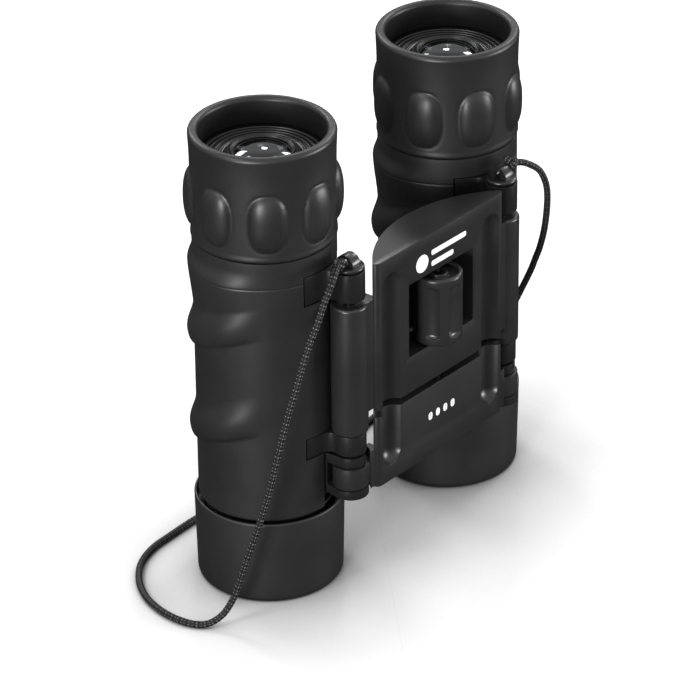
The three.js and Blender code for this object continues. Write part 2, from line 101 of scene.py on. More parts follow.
def mesh_object(name, vertices, faces):
    mesh = bpy.data.meshes.new(name)
    mesh.from_pydata([tuple(c * MM for c in v) for v in vertices], [], faces)
    obj = bpy.data.objects.new(name, mesh)
    bpy.context.scene.collection.objects.link(obj)
    face_outwards(obj)
    return obj


def face_outwards(obj):
    shape = bmesh.new()
    shape.from_mesh(obj.data)
    bmesh.ops.recalc_face_normals(shape, faces=shape.faces)
    if shape.calc_volume(signed=True) < 0:
        bmesh.ops.reverse_faces(shape, faces=shape.faces)
    shape.to_mesh(obj.data)
    shape.free()


def rounded(corners, steps=4):
    """The outline of (x, y, radius) corners, each rounded with an arc of its radius."""
    outline = []
    count = len(corners)
    for i, (x, y, radius) in enumerate(corners):
        here = Vector((x, y))
        to_last = (Vector(corners[i - 1][:2]) - here).normalized()
        to_next = (Vector(corners[(i + 1) % count][:2]) - here).normalized()
        if radius <= 0:
            outline.append((x, y))
            continue
        half = to_last.angle(to_next) / 2
        centre = here + (to_last + to_next).normalized() * radius / math.sin(half)
        first = here + to_last * radius / math.tan(half) - centre
        last = here + to_next * radius / math.tan(half) - centre
        sweep = first.angle_signed(last)
        for k in range(steps + 1):
            point = centre + Matrix.Rotation(-sweep * k / steps, 2) @ first
            outline.append((point.x, point.y))
    return outline


def lathe(name, outline, centre=(0, 0), segments=128, shift=None):
    """A closed (radius, height) outline turned about an upright axis.
    shift(angle in degrees, radius, height) may move each point in radius and height."""
    vertices, faces = [], []
    rows = len(outline)
    for k in range(segments):
        angle = 2 * math.pi * k / segments
        for radius, z in outline:
            if shift:
                radius, z = shift(math.degrees(angle), radius, z)
            vertices.append((centre[0] + radius * math.cos(angle),
                             centre[1] + radius * math.sin(angle), z))
        for i in range(rows):
            a, b = k * rows + i, k * rows + (i + 1) % rows
            c, d = (b + rows) % (segments * rows), (a + rows) % (segments * rows)
            faces.append((a, b, c, d))
    return mesh_object(name, vertices, faces)


def dome(name, radius, z_edge, z_base, sag, centre, segments=96, rings=10):
    """A round solid with a domed top: a rim from z_base to z_edge and a cap sag high."""
    outline = []
    for k in range(rings + 1):
        r = radius * k / rings
        outline.append((r, z_edge + sag * (1 - (r / radius) ** 2)))
    outline += [(radius, z_base), (0, z_base)]
    obj = lathe(name, outline, centre, segments)
    weld(obj)
    return obj


def weld(obj, distance=0.002):
    shape = bmesh.new()
    shape.from_mesh(obj.data)
    bmesh.ops.remove_doubles(shape, verts=shape.verts, dist=distance * MM)
    bmesh.ops.dissolve_degenerate(shape, edges=shape.edges, dist=distance * MM / 2)
    shape.to_mesh(obj.data)
    shape.free()


def prism(name, outline, low, high, place=None):
    """An (x, y) outline pulled from height low to high, then moved by a matrix in millimetres."""
    count = len(outline)
    vertices = [(x, y, z) for z in (low, high) for x, y in outline]
    if place is not None:
        vertices = [tuple(place @ Vector(v)) for v in vertices]
    faces = [tuple(reversed(range(count))), tuple(range(count, 2 * count))]
    faces += [(i, (i + 1) % count, count + (i + 1) % count, count + i) for i in range(count)]
    return mesh_object(name, vertices, faces)


def box_piece(name, x, y, z, place=None):
    return prism(name, [(x[0], y[0]), (x[1], y[0]), (x[1], y[1]), (x[0], y[1])], *z, place)


def cylinder(name, radius, low, high, centre=(0, 0), segments=64):
    outline = [(centre[0] + radius * math.cos(2 * math.pi * k / segments),
                centre[1] + radius * math.sin(2 * math.pi * k / segments)) for k in range(segments)]
    return prism(name, outline, low, high)


def arc(centre, radius, start, end, steps):
    """Points on an arc between two angles in degrees."""
    angles = (math.radians(start + (end - start) * k / steps) for k in range(steps + 1))
    return [(centre[0] + radius * math.cos(a), centre[1] + radius * math.sin(a)) for a in angles]


def applied(obj):
    """Replaces the mesh by the one that its modifiers make."""
    bpy.context.view_layer.update()
    evaluated = obj.evaluated_get(bpy.context.evaluated_depsgraph_get())
    mesh = bpy.data.meshes.new_from_object(evaluated)
    obj.modifiers.clear()
    obj.data = mesh
    mesh.name = obj.name
    return obj


def joined(obj, others, operation):
    for other in others:
        modifier = obj.modifiers.new("boolean", "BOOLEAN")
        modifier.operation = operation
        modifier.solver = "EXACT"
        modifier.object = other
    applied(obj)
    for other in others:
        bpy.data.objects.remove(other)
    weld(obj)
    return obj


def add(obj, others):
    return joined(obj, others, "UNION")


def cut(obj, others):
    return joined(obj, others, "DIFFERENCE")


def soften(obj, width, segments=2, angle=32):
    """Rounds the sharp edges of a hard piece."""
    modifier = obj.modifiers.new("bevel", "BEVEL")
    modifier.width = width * MM
    modifier.segments = segments
    modifier.limit_method = "ANGLE"
    modifier.angle_limit = math.radians(angle)
    modifier.use_clamp_overlap = True
    return applied(obj)


def smooth(obj, angle=40):
    obj.data.polygons.foreach_set("use_smooth", [True] * len(obj.data.polygons))
    obj.data.set_sharp_from_angle(angle=math.radians(angle))
    return obj


def finish_piece(obj, material, body, node=None, angle=40):
    smooth(obj, angle)
    obj.data.materials.clear()
    obj.data.materials.append(material)
    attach(obj, body)
    if node:
        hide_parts(node)
    return obj


# Materials ----------------------------------------------------------------------------------

class Nodes:
    """A small helper that builds one procedural material."""

    def __init__(self, name):
        self.material = bpy.data.materials.new(name)
        self.material.use_nodes = True
        self.tree = self.material.node_tree
        self.shader = self.tree.nodes["Principled BSDF"]
        self.coordinates = self.tree.nodes.new("ShaderNodeTexCoord")

    def noise(self, scale, detail=3.0, roughness=0.5):
        node = self.tree.nodes.new("ShaderNodeTexNoise")
        node.inputs["Scale"].default_value = scale
        node.inputs["Detail"].default_value = detail
        node.inputs["Roughness"].default_value = roughness
        self.tree.links.new(self.coordinates.outputs["Object"], node.inputs["Vector"])
        return node.outputs["Fac"]

    def ramp(self, source, low, high, start=0.0, end=1.0):
        """Maps source from start..end to a blend of two colours."""
        node = self.tree.nodes.new("ShaderNodeValToRGB")
        node.color_ramp.elements[0].position = start
        node.color_ramp.elements[1].position = end
        node.color_ramp.elements[0].color = (*low, 1)
        node.color_ramp.elements[1].color = (*high, 1)
        self.tree.links.new(source, node.inputs["Fac"])
        return node.outputs["Color"]

    def spread(self, source, low, high):
        """Maps source from 0.3..0.7 to low..high."""
        node = self.tree.nodes.new("ShaderNodeMapRange")
        node.inputs["From Min"].default_value = 0.3
        node.inputs["From Max"].default_value = 0.7
        node.inputs["To Min"].default_value = low
        node.inputs["To Max"].default_value = high
        self.tree.links.new(source, node.inputs["Value"])
        return node.outputs["Result"]

    def bump(self, source, distance, strength=1.0, after=None):
        node = self.tree.nodes.new("ShaderNodeBump")
        node.inputs["Distance"].default_value = distance
        node.inputs["Strength"].default_value = strength
        self.tree.links.new(source, node.inputs["Height"])
        if after is not None:
            self.tree.links.new(after, node.inputs["Normal"])
        return node.outputs["Normal"]

    def set(self, **values):
        for name, value in values.items():
            self.shader.inputs[name.replace("_", " ")].default_value = value

    def link(self, source, name):
        self.tree.links.new(source, self.shader.inputs[name])


def grey(value):
    return (value, value, value * 1.02)


def moulded(name, dark, light, rough, grain, depth, specular=0.5, patches=60.0):
    """A moulded rubber or plastic: faint patches of tone and gloss over a fine eroded grain."""
    nodes = Nodes(name)
    large = nodes.noise(patches, 4.0, 0.6)
    fine = nodes.noise(grain, 2.0, 0.6)
    nodes.link(nodes.ramp(large, grey(dark), grey(light), 0.3, 0.7), "Base Color")
    nodes.link(nodes.spread(large, rough - 0.03, rough + 0.03), "Roughness")
    nodes.link(nodes.bump(fine, depth), "Normal")
    nodes.set(Specular_IOR_Level=specular)
    return nodes.material


def make_materials():
    made = {
        "rubber": moulded("rubber", 0.009, 0.012, 0.44, 5200, 0.000016, 0.42),
        "cup": moulded("cup_rubber", 0.009, 0.012, 0.41, 5200, 0.000012, 0.45),
        "band": moulded("band_rubber", 0.009, 0.012, 0.47, 5200, 0.000015, 0.42),
        "plastic": moulded("satin_plastic", 0.007, 0.009, 0.31, 7000, 0.000006, 0.5),
        "bridge": moulded("bridge_plastic", 0.011, 0.014, 0.34, 6500, 0.000009, 0.5),
        "wheel": moulded("wheel_plastic", 0.012, 0.015, 0.30, 7000, 0.000005, 0.5),
        "inner": moulded("inner_plastic", 0.004, 0.006, 0.36, 7000, 0.000004, 0.45),
    }
    steel = moulded("blackened_steel", 0.05, 0.07, 0.34, 9000, 0.000004)
    steel.node_tree.nodes["Principled BSDF"].inputs["Metallic"].default_value = 1.0
    made["steel"] = steel
    print_nodes = Nodes("white_print")
    tone = print_nodes.noise(900, 3.0)
    print_nodes.link(print_nodes.ramp(tone, (0.62,) * 3, (0.72,) * 3, 0.3, 0.7), "Base Color")
    print_nodes.set(Roughness=0.45)
    made["print"] = print_nodes.material
    for name, tint in (("lens", (0.03, 0.034, 0.04)), ("prism", (0.80, 0.84, 0.84))):
        glass = Nodes(name + "_glass")
        film = glass.noise(120, 2.0)
        glass.link(glass.ramp(film, tint, tuple(min(1, c * 1.05) for c in tint), 0.3, 0.7),
                   "Base Color")
        glass.set(Roughness=0.02, IOR=1.52, Transmission_Weight=1.0, Specular_IOR_Level=0.25)
        made[name] = glass.material
    return made


def braid_material():
    """Black nylon with the paler strands that the mesh's braid attribute marks."""
    nodes = Nodes("cord_braid")
    attribute = nodes.tree.nodes.new("ShaderNodeAttribute")
    attribute.attribute_name = "braid"
    strands = attribute.outputs["Fac"]
    fibre = nodes.noise(9000, 2.0)
    nodes.link(nodes.ramp(strands, (0.005,) * 3, (0.22,) * 3, 0.35, 0.85), "Base Color")
    nodes.link(nodes.spread(fibre, 0.5, 0.7), "Roughness")
    nodes.link(nodes.bump(fibre, 0.00002), "Normal")
    nodes.set(Specular_IOR_Level=0.2)
    return nodes.material


# Neck cord -----------------------------------------------------------------------------------

CORD_R = 0.8
KNOT_TIGHTNESS = 0.82
COIL_CENTRE = (11, 39.4)
COIL_RADII = (10.55, 8.9, 7.25)
COIL_LOWEST = 0.85
COIL_LAYER = 1.62
COIL_LAYERS = 4
CORD_LEFT = [
    (-28.3, -14.3, 82), (-30.6, -14.9, 82.6), (-33, -16, 82), (-35, -16.6, 80.2),
    (-37, -16.5, 77.2), (-39.2, -16.3, 72.7), (-41, -15.8, 69), (-43.2, -15.4, 63.9),
    (-45, -14.8, 58.2), (-46.4, -14.1, 53.4), (-47.8, -13.4, 47.8), (-49.1, -12.6, 41.6),
    (-50.3, -11.5, 34.4), (-51.5, -10.2, 28.2), (-52.5, -9, 23), (-53.4, -7.9, 18.8),
    (-54.2, -6.9, 14.6), (-55, -6, 10.4), (-56.1, -4.9, 6.4), (-57.9, -3.5, 3),
    (-60.2, -1.6, 1.2), (-62, 1, 0.85), (-62.9, 5, 0.85), (-62.6, 10.4, 0.85),
    (-60.6, 16.6, 0.85), (-56.6, 22.4, 0.85), (-51, 27, 0.85), (-44.6, 29.4, 0.85),
    (-37.6, 30, 0.85), (-29, 30.3, 0.85), (-19, 30, 0.85), (-9, 28.4, 0.85), (0, 27.2, 0.85),
    (7, 26.9, 0.85),
]
CORD_RIGHT = [
    (28.3, -14.3, 82), (30.2, -14.8, 82.9), (32.3, -15.4, 82.6), (34.4, -16.4, 81.4),
    (36.8, -17.2, 79.2), (39, -17.3, 74.9), (40.4, -16.6, 69.9), (42.4, -14.5, 62.3),
    (46.4, -10.2, 54.1), (49.8, -6.1, 47.6), (52.4, -2.8, 42.4), (55.4, 2.3, 34.2),
    (57.6, 7.4, 25.4), (58.4, 12, 17), (57.8, 16.8, 9.6), (55.6, 21.4, 3.9), (51.6, 25.6, 1.1),
    (46, 28, 0.85), (39, 28.7, 0.85), (32, 28, 0.85), (25.6, 27.2, 0.9), (20, 26.8, 1.5),
    (15.6, 26.7, 2.4),
]


def coil_points(per_turn=16):
    """The wound stretch: each layer's turns lie side by side, and the layers on each other."""
    turns = []
    for layer in range(COIL_LAYERS):
        radii = COIL_RADII if layer % 2 == 0 else COIL_RADII[::-1]
        turns += [(radius, COIL_LOWEST + layer * COIL_LAYER) for radius in radii]
    points = []
    total = len(turns) * per_turn
    for k in range(2, total - 1):
        turn, part = divmod(k / per_turn, 1)
        radius, z = turns[int(turn)]
        next_radius, next_z = turns[min(int(turn) + 1, len(turns) - 1)]
        step = max(0.0, (part - 0.75) / 0.25)
        step = step * step * (3 - 2 * step)
        radius += (next_radius - radius) * step
        z += (next_z - z) * step
        angle = math.radians(-90) + 2 * math.pi * k / per_turn
        points.append((COIL_CENTRE[0] + radius * math.cos(angle),
                       COIL_CENTRE[1] + radius * math.sin(angle), z))
    return points


def catmull(points, spacing):
    """A smooth curve through the points, sampled about every spacing millimetres."""
    points = [Vector(p) for p in points]
    padded = [2 * points[0] - points[1], *points, 2 * points[-1] - points[-2]]
    sampled = []
    for a, b, c, d in zip(padded, padded[1:], padded[2:], padded[3:]):
        steps = max(2, round((c - b).length / spacing))
        for k in range(steps):
            t = k / steps
            sampled.append(0.5 * (2 * b + (c - a) * t + (2 * a - 5 * b + 4 * c - d) * t * t
                                  + (3 * b - a - 3 * c + d) * t ** 3))
    sampled.append(points[-1])
    return sampled


def even(points, spacing):
    """The same line with its points at equal distances."""
    travelled = [0.0]
    for a, b in zip(points, points[1:]):
        travelled.append(travelled[-1] + (b - a).length)
    count = round(travelled[-1] / spacing)
    result, i = [], 0
    for k in range(count + 1):
        target = travelled[-1] * k / count
        while i < len(points) - 2 and travelled[i + 1] < target:
            i += 1
        part = (target - travelled[i]) / (travelled[i + 1] - travelled[i])
        result.append(points[i].lerp(points[i + 1], min(1.0, part)))
    return result, travelled[-1]


def braided_tube(name, path, radius, spacing, sides=20, strands=8, pitch=4.6):
    """A tube along path whose surface carries crossing strands."""
    vertices, marks, faces = [], [], []
    normal = (path[1] - path[0]).orthogonal().normalized()
    count = len(path)
    for i, point in enumerate(path):
        along = (path[min(i + 1, count - 1)] - path[max(i - 1, 0)]).normalized()
        normal = (normal - along * normal.dot(along)).normalized()
        binormal = along.cross(normal)
        turn = 2 * math.pi * i * spacing / pitch
        for k in range(sides):
            angle = 2 * math.pi * k / sides
            one = strands / 2 * (angle - turn)
            other = strands / 2 * (angle + turn)
            crown = abs(math.sin(one) * math.sin(other))
            pale = (math.floor(one / math.pi) + math.floor(other / math.pi)) % 2 == 0
            r = radius * (0.9 + 0.1 * crown)
            vertices.append(point + (normal * math.cos(angle) + binormal * math.sin(angle)) * r)
            marks.append(crown if pale else 0.0)
    for i in range(count - 1):
        for k in range(sides):
            a, b = i * sides + k, i * sides + (k + 1) % sides
            faces.append((a, b, b + sides, a + sides))
    faces.append(tuple(reversed(range(sides))))
    faces.append(tuple(range((count - 1) * sides, count * sides)))
    obj = mesh_object(name, vertices, faces)
    attribute = obj.data.attributes.new("braid", "FLOAT", "POINT")
    attribute.data.foreach_set("value", marks)
    return obj


def make_knot(name, centre, size, material):
    """A small overhand knot: a trefoil of the cord drawn tight at its lug."""
    points, count, spacing = [], 96, 0.2
    for k in range(count):
        t = 2 * math.pi * k / count
        points.append(Vector(centre) + size * Vector((
            math.sin(3 * t) * 0.36, (math.sin(t) + 2 * math.sin(2 * t)) / 3,
            (math.cos(t) - 2 * math.cos(2 * t)) / 3)))
    points.append(points[0])
    path, _ = even(points, spacing)
    knot = braided_tube(name, path, CORD_R * KNOT_TIGHTNESS, spacing, sides=16)
    return finish_piece(knot, material, "bridge", angle=80)


def make_cord():
    points = CORD_LEFT + coil_points() + CORD_RIGHT[::-1]
    spacing = 0.35
    path, length = even(catmull(points, 1.0), spacing)
    cord = braided_tube("neck_cord", path, CORD_R, spacing)
    braid = braid_material()
    finish_piece(cord, braid, "bridge", angle=80)
    knots = [make_knot("left_cord_knot", (-30.0, -14.7, 82.6), 1.0, braid),
             make_knot("right_cord_knot", (29.4, -14.6, 83.3), 1.5, braid)]
    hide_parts("neck_cord_left", "neck_cord_coil", "neck_cord_right")


make_camera()
MATERIALS = make_materials()
make_cord()


# Barrels ---------------------------------------------------------------------------------------

RIDGE_CENTRE = 97.0
RIDGE_FADE = (84.0, 124.0)
WAVE_RIDGES = (60.5, 36.8)
WAVE_HEIGHT = 1.5
WAVE_CLIMB = 6.2
TOP_RIDGE_Z = 79.0
TOP_RIDGE_HEIGHT = 1.1
EAR_HALF_ANGLE = 30.5
EAR_OUT = 15.72
EAR_KNUCKLE_R = 3.6
EAR_MEETING = 118
KNUCKLE_R = 4.0
PIN_HOLE_R = 1.5
SLEEVE_Z = (39.9, 71.7)
UPPER_EAR_Z = (73.2, 79.9)
LOWER_EAR_Z = (35.0, 39.7)
ARMOUR_LINE_Z = 78.5
ARM_HALF_WIDTH = 2.6
UPPER_FORK_R = 3.35
LENS_R = 6.2
LENS_EDGE_Z = 102.5
LENS_SAG = 1.6


def blend(value, start, end):
    """0 below start, 1 above end, smooth between."""
    t = min(1.0, max(0.0, (value - start) / (end - start)))
    return t * t * (3 - 2 * t)


def ridge_height(angle, z):
    """How far the armour's grip ridges stand out, at an angle on the left barrel."""
    away = abs((angle - RIDGE_CENTRE + 180) % 360 - 180)
    reach = 1 - blend(away, *RIDGE_FADE)
    climb = WAVE_CLIMB * (1 - math.cos(math.radians(angle - 90)))
    height = 0.0
    for tip in WAVE_RIDGES:
        offset = z - tip - climb
        if offset >= 0:
            wave = 1 - blend(offset, 0.0, 6.4)
        else:
            wave = max(0.0, 1 - (offset / 3.9) ** 2) ** 0.5
        height = max(height, WAVE_HEIGHT * wave)
    above = z - TOP_RIDGE_Z
    top = 1 - blend(above, -0.6, 3.6) if above > 0 else blend(z, 66.5, TOP_RIDGE_Z + 1)
    return reach * max(height, TOP_RIDGE_HEIGHT * top)


def hinge_turn(side):
    """The direction from a barrel's axis to its hinge, in degrees."""
    return math.degrees(math.atan2(HINGE_Y - BARREL_Y, side * (HINGE_X - BARREL_X)))


def facing_hinge(side):
    """Moves a piece drawn with the barrel's axis at the origin and its hinge along +X."""
    return Matrix.Translation((side * BARREL_X, BARREL_Y, 0)) @ Matrix.Rotation(
        math.radians(hinge_turn(side)), 4, "Z")


def put(obj, matrix):
    scaled = matrix.copy()
    scaled.translation = scaled.translation * MM
    obj.data.transform(scaled)
    return obj


def ear_outline():
    """An ear: flush with the armour, then an S-curve into the hinge knuckle."""
    half = math.radians(EAR_HALF_ANGLE)
    corner = Vector((math.cos(half), math.sin(half))) * EAR_OUT
    leaving = Vector((math.sin(half), -math.cos(half)))
    meeting = math.radians(EAR_MEETING)
    knuckle = Vector((REACH + EAR_KNUCKLE_R * math.cos(meeting), EAR_KNUCKLE_R * math.sin(meeting)))
    arriving = Vector((math.sin(meeting), -math.cos(meeting)))
    reach = (knuckle - corner).length
    flank = bezier(corner, corner + leaving * reach * 0.42, knuckle - arriving * reach * 0.5,
                   knuckle, 12)
    outline = arc((0, 0), 13.9, EAR_HALF_ANGLE, -EAR_HALF_ANGLE, 12)
    outline += [(x, -y) for x, y in flank[:-1]]
    outline += arc((REACH, 0), EAR_KNUCKLE_R, -EAR_MEETING, EAR_MEETING, 40)
    return outline + flank[:-1][::-1]


def bezier(a, b, c, d, steps):
    points = []
    for k in range(steps + 1):
        t = k / steps
        point = (1 - t) ** 3 * a + 3 * (1 - t) ** 2 * t * b + 3 * (1 - t) * t * t * c + t ** 3 * d
        points.append((point.x, point.y))
    return points


def fork_outline(corner, half_width, root_radius, knuckle):
    """A fork ring on a straight arm, with flanks tangent to the hinge knuckle."""
    distance = math.hypot(REACH - corner, half_width)
    tangent = math.degrees(math.atan2(half_width, corner - REACH)
                           - math.acos(knuckle / distance))
    root = math.degrees(math.asin(half_width / root_radius))
    outline = arc((0, 0), root_radius, root, -root, 12) + [(corner, -half_width)]
    return outline + arc((REACH, 0), knuckle, -tangent, tangent, 40) + [(corner, half_width)]


def sector_outline(inner, outer, half_angle):
    return arc((0, 0), inner, half_angle, -half_angle, 12) + arc((0, 0), outer, -half_angle,
                                                                  half_angle, 12)


def make_armour(name, side):
    low, high = (corner.z for corner in span(f"{name}_barrel_armour"))
    inner, outer = 14.7, 15.77
    rows = [low + (high - low) * k / 150 for k in range(1, 150)]
    rows += [ARMOUR_LINE_Z + offset for offset in (-0.24, -0.12, 0.0, 0.12, 0.24)]
    rows.sort()
    outline = [(inner, low), (outer - 0.35, low), (outer - 0.08, low + 0.12)]
    outline += [(outer, z) for z in rows if low + 0.3 < z]
    outline += [(outer - 0.03, high + 0.16), (outer - 0.2, high + 0.25), (inner, high + 0.25)]

    def shift(angle, radius, z):
        if radius < outer - 0.5:
            return radius, z
        own = angle if side < 0 else 180 - angle
        line = 0.09 * math.exp(-((z - ARMOUR_LINE_Z) / 0.14) ** 2)
        return radius + ridge_height(own, z) - line, z

    armour = lathe(f"{name}_armour", outline, (0, 0), 180, shift)
    put(armour, Matrix.Translation((side * BARREL_X, BARREL_Y, 0)))
    place = facing_hinge(side)
    gap, ear_half, arm_half = 0.32, EAR_HALF_ANGLE + 1.3, 12.8
    cutters = []
    for half, (z0, z1) in ((ear_half, UPPER_EAR_Z), (ear_half, LOWER_EAR_Z),
                           (arm_half, (10, LOWER_EAR_Z[0]))):
        outline = sector_outline(inner - 0.5, 20, half)
        cutters.append(prism("cutter", outline, z0 - gap, z1 + gap, place))
    cut(armour, cutters)
    finish_piece(armour, MATERIALS["rubber"], f"{name}_barrel", f"{name}_barrel_armour")


def make_housing(name, side):
    low, high = (corner.z for corner in span(f"{name}_barrel_housing"))
    tube = rounded([(13.5, low, 0.2), (14.4, low, 0.2), (14.4, high, 0.3), (13.5, high, 0.2),
                    (13.5, 46.5, 0), (12.4, 46.5, 0), (12.4, 45, 0), (13.5, 45, 0)], 2)
    housing = lathe(f"{name}_housing", tube, (0, 0), 128)
    add(housing, [prism("ear", ear_outline(), *heights) for heights in (UPPER_EAR_Z, LOWER_EAR_Z)])
    slot = ARM_HALF_WIDTH + 0.3
    cut(housing, [cylinder("hole", PIN_HOLE_R, 30, 100, (REACH, 0), 48),
                  box_piece("slot", (12, 17), (-slot, slot), (20.5, 34.9))])
    soften(housing, 0.28, 3)
    put(housing, facing_hinge(side))
    finish_piece(housing, MATERIALS["plastic"], f"{name}_barrel",
                 f"{name}_barrel_housing")


def make_band(name, side):
    top = span(f"{name}_objective_band")[1].z
    outline = rounded([(13.0, 0, 0.3), (16.3, 0, 1.3), (16.42, 4, 0), (16.6, 12, 0),
                       (16.74, top, 0.45), (16.2, top, 0.2), (16.1, 17.6, 0), (14.7, 17.6, 0),
                       (14.7, 2.4, 0.2), (13.0, 2.4, 0.2)], 7)
    band = lathe(f"{name}_band", outline, (side * BARREL_X, BARREL_Y), 160)
    finish_piece(band, MATERIALS["band"], f"{name}_barrel",
                 f"{name}_objective_band")


BUMP_COUNT = 8
BUMP_START = {"left": 224.3, "right": 243.8}
BUMP_HALF_ANGLE = 15.3
BUMP_HALF_HEIGHT = 6.5
BUMP_Z = 94.2
BUMP_HEIGHT = 1.5


def make_eyecup(name, side, body):
    low, high = (corner.z for corner in span(f"{name}_eyecup"))
    wall, power = 15.87, 2.6
    outline = [(14.5, low), (wall - 0.12, low), (wall + 0.06, low + 0.12), (wall + 0.12, low + 0.4),
               (wall + 0.1, low + 0.8), (wall + 0.02, low + 1.2)]
    outline += [(wall, low + 1.6 + 0.3 * k) for k in range(56)]
    outline += [(wall + 0.02, 104.0), (wall + 0.05, 105.4), (wall + 0.12, 106.8)]
    outline += arc((15.0, high - 1.1), 1.09, -12, 180, 20)
    outline += [(13.92, 107.2), (13.95, 105.5), (13.99, 103.9), (14.05, 103.75), (14.5, 103.7)]
    spacing = 360 / BUMP_COUNT

    def shift(angle, radius, z):
        if radius < wall - 0.01 or abs(z - BUMP_Z) > BUMP_HALF_HEIGHT + 0.6:
            return radius, z
        across = (angle - BUMP_START[name] + spacing / 2) % spacing - spacing / 2
        u, v = across / BUMP_HALF_ANGLE, (z - BUMP_Z) / BUMP_HALF_HEIGHT
        distance = (abs(u) ** power + abs(v) ** power) ** (1 / power)
        crown = max(0.0, 1 - distance ** 2.4) ** 0.72
        rim = 0.1 * math.exp(-((distance - 1.06) / 0.06) ** 2)
        return radius + BUMP_HEIGHT * crown - rim, z

    cup = lathe(f"{name}_cup", outline, (0, 0), 240, shift)
    put(cup, Matrix.Translation((side * BARREL_X, BARREL_Y, 0)))
    finish_piece(cup, MATERIALS["cup"], body, f"{name}_eyecup", angle=60)


def grooved(start, end, count, depth):
    """Outline points from start to end with count rounded grooves cut into the line."""
    points = [start]
    for k in range(count):
        for part, drop in ((0.30, 0), (0.42, 0.8), (0.55, 1), (0.68, 0.8), (0.80, 0)):
            t = (k + part) / count
            points.append((start[0] + (end[0] - start[0]) * t,
                           start[1] + (end[1] - start[1]) * t - depth * drop))
    return points + [end]


def make_eyepiece(name, side, ring_body, ocular_body):
    centre = (side * BARREL_X, BARREL_Y)
    shelf = span(f"{name}_eyepiece_ring")[1].z
    bore = 12.9
    ring = [(12.2, 78), (13.2, 78), (13.2, 85.1), (14.2, 85.1), (14.2, shelf - 0.2),
            (14.0, shelf)]
    ring += grooved((13.4, shelf), (8.8, shelf + 0.15), 4, 0.3)
    ring += [(8.6, shelf), (8.6, shelf - 1.5), (bore, shelf - 1.5), (bore, 86), (12.2, 86)]
    finish_piece(lathe(f"{name}_ring", ring, centre, 144), MATERIALS["inner"], ring_body,
                 f"{name}_eyepiece_ring", angle=50)
    cell = [(7.3, 88), (12.5, 88), (12.5, 91), (8.3, 91), (8.3, shelf + 0.3), (8.2, shelf + 0.45)]
    cell += grooved((8.1, shelf + 0.5), (7.2, shelf + 1.1), 2, 0.14)
    cell += [(7.1, shelf + 1.0), (7.1, 102.4), (6.4, 102.4), (6.4, 99), (7.3, 99)]
    finish_piece(lathe(f"{name}_ocular", cell, centre, 144), MATERIALS["inner"], ocular_body,
                 f"{name}_ocular_cell", angle=50)
    retainer = [(6.25, shelf + 0.2), (6.25, shelf + 0.75)]
    retainer += grooved((6.3, shelf + 0.9), (6.95, shelf + 1.25), 2, 0.1)
    retainer += [(7.05, shelf + 1.15), (7.05, shelf + 0.2)]
    finish_piece(lathe(f"{name}_retainer", retainer, centre, 144), MATERIALS["inner"],
                 ocular_body, f"{name}_ocular_retainer", angle=50)
    lens = dome(f"{name}_lens", LENS_R, shelf + 0.6, LENS_EDGE_Z, LENS_SAG, centre)
    finish_piece(lens, MATERIALS["lens"], ocular_body, f"{name}_eye_lens")


def make_objective(name, side):
    low, high = (corner.z for corner in span(f"{name}_objective_cell"))
    tube = rounded([(12.8, low, 0.15), (13.2, low, 0.15), (13.2, high, 0.2), (12.0, high, 0.2),
                    (12.0, 12, 0), (11.6, 12, 0.1), (11.6, 11, 0.1), (12.8, 11, 0)], 2)
    cell = lathe(f"{name}_cell", tube, (0, 0), 128)
    half, corner, root = ARM_HALF_WIDTH, 16, 12.8
    upper_fork = fork_outline(corner, half, root, UPPER_FORK_R)
    lower_fork = fork_outline(corner, half, root, KNUCKLE_R)
    pieces = [box_piece("arm", (12.6, REACH - KNUCKLE_R - 0.5), (-half, half), (24.1, high)),
              prism("fork", lower_fork, 24.1, 26.2), prism("fork", upper_fork, 31.9, high)]
    add(cell, pieces)
    cut(cell, [cylinder("hole", PIN_HOLE_R, 20, 40, (REACH, 0), 48)])
    soften(cell, 0.25, 3)
    put(cell, facing_hinge(side))
    finish_piece(cell, MATERIALS["plastic"], f"{name}_objective",
                 f"{name}_objective_cell")
    centre = (side * BARREL_X, BARREL_Y)
    front = dome(f"{name}_front", 12.5, -8.4, -9.3, 0.9, centre, 128)
    front.data.transform(Matrix.Scale(-1, 4, UP))
    face_outwards(front)
    finish_piece(front, MATERIALS["lens"], f"{name}_objective",
                 f"{name}_objective_front_lens")
    ring = rounded([(11.4, 6.4, 0.15), (12.5, 6.4, 0.15), (12.5, 7.2, 0.1), (11.4, 7.2, 0.1)], 3)
    finish_piece(lathe(f"{name}_objective_ring", ring, centre, 128), MATERIALS["inner"],
                 f"{name}_objective", f"{name}_objective_retainer")


# Bridge ------------------------------------------------------------------------------------------

BRIDGE_HALF = 22.1
BRIDGE_SIDE = 1.2
BRIDGE_BULGE = 8.8
CORNER_R = 1.15
SLEEVE_R = 4.1
WEB_INNER_X = 21
LOWER_KNUCKLE_Z = (26.5, 31.6)
WINDOW_HALF = 11.2
WINDOW_Z = (52.7, 70.8)
WINDOW_DEPTH = 7.2
SPINDLE_HOLE_R = 0.65
FLUTE_X = 17.3
FLUTE_HALF = 3.1
FLUTE_DEPTH = 2.2
FLUTE_Z = (28.4, 76.5)


def bridge_outline(steps=64):
    radius = (BRIDGE_HALF ** 2 + BRIDGE_BULGE ** 2) / (2 * BRIDGE_BULGE)
    side_y = FRONT_Y + BRIDGE_SIDE
    centre_y = side_y + BRIDGE_BULGE - radius
    start = math.degrees(math.atan2(side_y - centre_y, BRIDGE_HALF))
    corner = BRIDGE_HALF - CORNER_R
    front = arc((-corner, FRONT_Y + CORNER_R), CORNER_R, 180, 270, 8)
    front += arc((corner, FRONT_Y + CORNER_R), CORNER_R, -90, 0, 8)
    return front + arc((0, centre_y), radius, start, 180 - start, steps)[1:-1]


